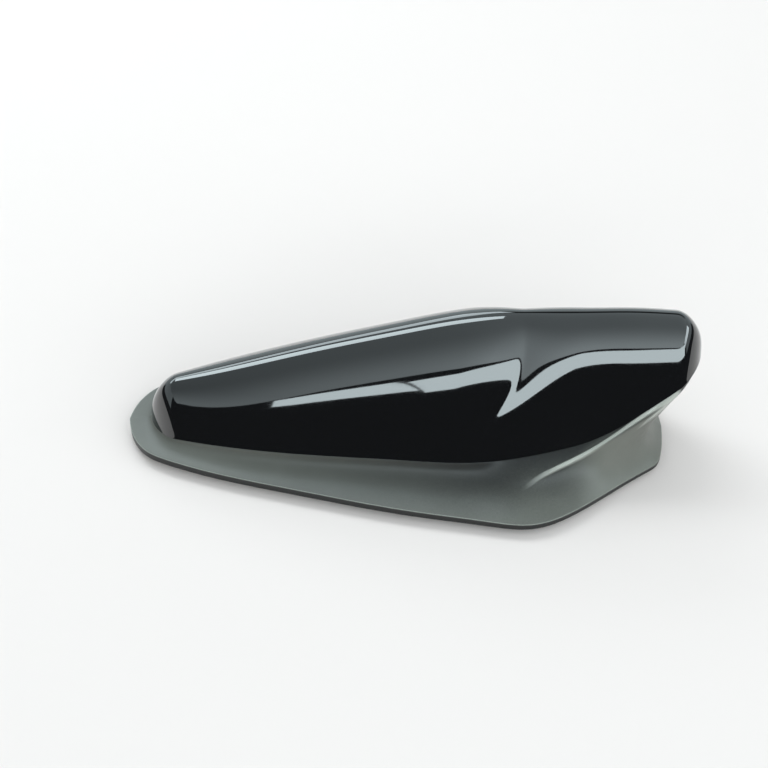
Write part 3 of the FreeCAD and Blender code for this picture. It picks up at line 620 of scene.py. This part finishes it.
def rectangle(first_range, second_range):
    """Corners in order round a rectangle that spans two ranges."""
    (a, b), (c, d) = first_range, second_range
    return [(a, c), (b, c), (b, d), (a, d)]


def stage_plane(name, corners, material):
    """Four-cornered surface of the studio, which is no part of the object."""
    data = bpy.data.meshes.new(name)
    data.from_pydata(corners, [], [(0, 1, 2, 3)])
    plane = bpy.data.objects.new(name, data)
    bpy.context.scene.collection.objects.link(plane)
    plane.data.materials.append(material)


# The table ends a little in front of the part, and past that edge the gloss flank reflects the dark room
TABLE_X = (-3, 3)
TABLE_Y = (-0.14, 3)
# The table lies a little below the part, so that a soft shadow shows in front of the rim
TABLE_HEIGHT = -0.0022


def make_table():
    """Matt white board under the part."""
    material = new_material("matt_white_board", Base_Color=srgb("#ecdfdb"), Roughness=0.9,
                            Specular_IOR_Level=0.1)[0]
    stage_plane("table", [(x, y, TABLE_HEIGHT) for x, y in rectangle(TABLE_X, TABLE_Y)], material)


CEILING_FRONT = -1.62
CEILING_BACK = 1.0
CEILING_HEIGHT = 0.9
SIDE = 1.6
CEILING_LEVELS = (2.15, 0.9)
CEILING_LEFT_SHARE = 0.55
BACK_WALL_X = (-2.4, 2.4)
BACK_WALL_Y = 1.5
BACK_WALL_Z = (0.0, 0.8)
BACK_WALL_LEVEL = 0.8
SIDE_WALL_Y = (-0.9, 1.5)
SIDE_WALL_Z = (0.25, 0.9)
SIDE_WALL_LEVELS = (1.0, 0.75)
# Where a surface's front level has turned into its back level, and where its left share begins and ends
BACK_LEVEL_FROM = -0.25
LEFT_SHARE_FADE = (-0.9, 0.3)


def glowing(name, front_level, back_level, left_share=1.0):
    """Light surface whose brightness goes from a front to a back level, with a share of it at the left."""
    material = bpy.data.materials.new(name)
    material.use_nodes = True
    tree = material.node_tree
    tree.nodes.clear()
    place = add_node(tree, "ShaderNodeTexCoord")
    axes = add_node(tree, "ShaderNodeSeparateXYZ", {"Vector": place.outputs["Object"]})
    level = add_node(tree, "ShaderNodeMapRange", {
        "Value": axes.outputs["Y"], "From Min": CEILING_FRONT, "From Max": BACK_LEVEL_FROM,
        "To Min": front_level, "To Max": back_level}, interpolation_type="SMOOTHSTEP")
    share = add_node(tree, "ShaderNodeMapRange", {
        "Value": axes.outputs["X"], "From Min": LEFT_SHARE_FADE[0], "From Max": LEFT_SHARE_FADE[1],
        "To Min": left_share, "To Max": 1.0})
    strength = add_node(tree, "ShaderNodeMath", {0: level.outputs["Result"], 1: share.outputs["Result"]},
                        operation="MULTIPLY")
    glow = add_node(tree, "ShaderNodeEmission", {
        "Color": srgb(LAMP_TINT), "Strength": strength.outputs["Value"]})
    add_node(tree, "ShaderNodeOutputMaterial", {"Surface": glow.outputs["Emission"]})
    return material


def make_room():
    """Ceiling and walls as light surfaces."""
    ceiling = rectangle((-SIDE, SIDE), (CEILING_BACK, CEILING_FRONT))
    stage_plane("ceiling", [(x, y, CEILING_HEIGHT) for x, y in ceiling],
                glowing("lit_ceiling", *CEILING_LEVELS, CEILING_LEFT_SHARE))
    stage_plane("back_wall", [(x, BACK_WALL_Y, z) for x, z in rectangle(BACK_WALL_X, BACK_WALL_Z)],
                glowing("lit_wall", BACK_WALL_LEVEL, BACK_WALL_LEVEL))
    for name, x in (("left_wall", -SIDE), ("right_wall", SIDE)):
        stage_plane(name, [(x, y, z) for y, z in rectangle(SIDE_WALL_Y, SIDE_WALL_Z)],
                    glowing(name + "_light", *SIDE_WALL_LEVELS))


def area_lamp(name, place, target, width, depth, radiance):
    """Rectangular lamp of a given brightness that faces the target."""
    data = bpy.data.lights.new(name, "AREA")
    data.shape = "RECTANGLE"
    data.size = width
    data.size_y = depth
    data.energy = radiance * math.pi * width * depth
    data.color = srgb(LAMP_TINT)[:3]
    lamp = bpy.data.objects.new(name, data)
    lamp.location = place
    lamp.rotation_euler = (Vector(target) - Vector(place)).to_track_quat("-Z", "Y").to_euler()
    bpy.context.scene.collection.objects.link(lamp)


# Lamps: place, target, width, depth and brightness
BACK_PANEL = ((-0.7, 1.05, 0.9), (0, 0, 0), 1.8, 0.45, 3.4)
SIDE_WINDOW = ((1.5, -0.45, 0.66), (0, -0.45, 0.02), 1.3, 0.26, 4.5)

# The tube's corners as (x, y)
TUBE = ((-0.9, 0.42), (0.03, 0.24), (0.03, 0.46), (-0.9, 0.85))
TUBE_HEIGHT = 0.88
TUBE_LEVEL = 6.5

# Each window's corners as (x, z): two on the sill, then two on the head
WINDOWS = (("front_window_left", ((-0.659, 0.54), (-0.350, 0.43), (-0.432, 0.586), (-0.686, 0.636))),
           ("front_window_right", ((-0.326, 0.40), (1.61, 0.379), (1.61, 0.70), (-0.408, 0.56))))
WINDOW_Y = -1.2
WINDOW_MIDDLE = 0.53
WINDOW_LEAN = 0.42
WINDOW_LEVEL = 5.7
WORLD_LEVEL = 0.06


def make_light():
    """Dim surroundings, the tube, the windows in front and at the side, and a panel behind."""
    world = bpy.data.worlds.new("dim_room")
    world.use_nodes = True
    background = world.node_tree.nodes["Background"]
    background.inputs["Color"].default_value = srgb("#f2f5f7")
    background.inputs["Strength"].default_value = WORLD_LEVEL
    bpy.context.scene.world = world
    stage_plane("ceiling_tube", [(x, y, TUBE_HEIGHT) for x, y in TUBE],
                glowing("tube_light", TUBE_LEVEL, TUBE_LEVEL))
    area_lamp("back_panel", *BACK_PANEL)
    window_light = glowing("window_light", WINDOW_LEVEL, WINDOW_LEVEL)
    for name, corners in WINDOWS:
        leaning = [(x, WINDOW_Y + (z - WINDOW_MIDDLE) * WINDOW_LEAN, z) for x, z in corners]
        stage_plane(name, leaning, window_light)
    area_lamp("side_window", *SIDE_WINDOW)


make_table()
make_room()
make_light()
bpy.context.scene.view_settings.view_transform = "Standard"
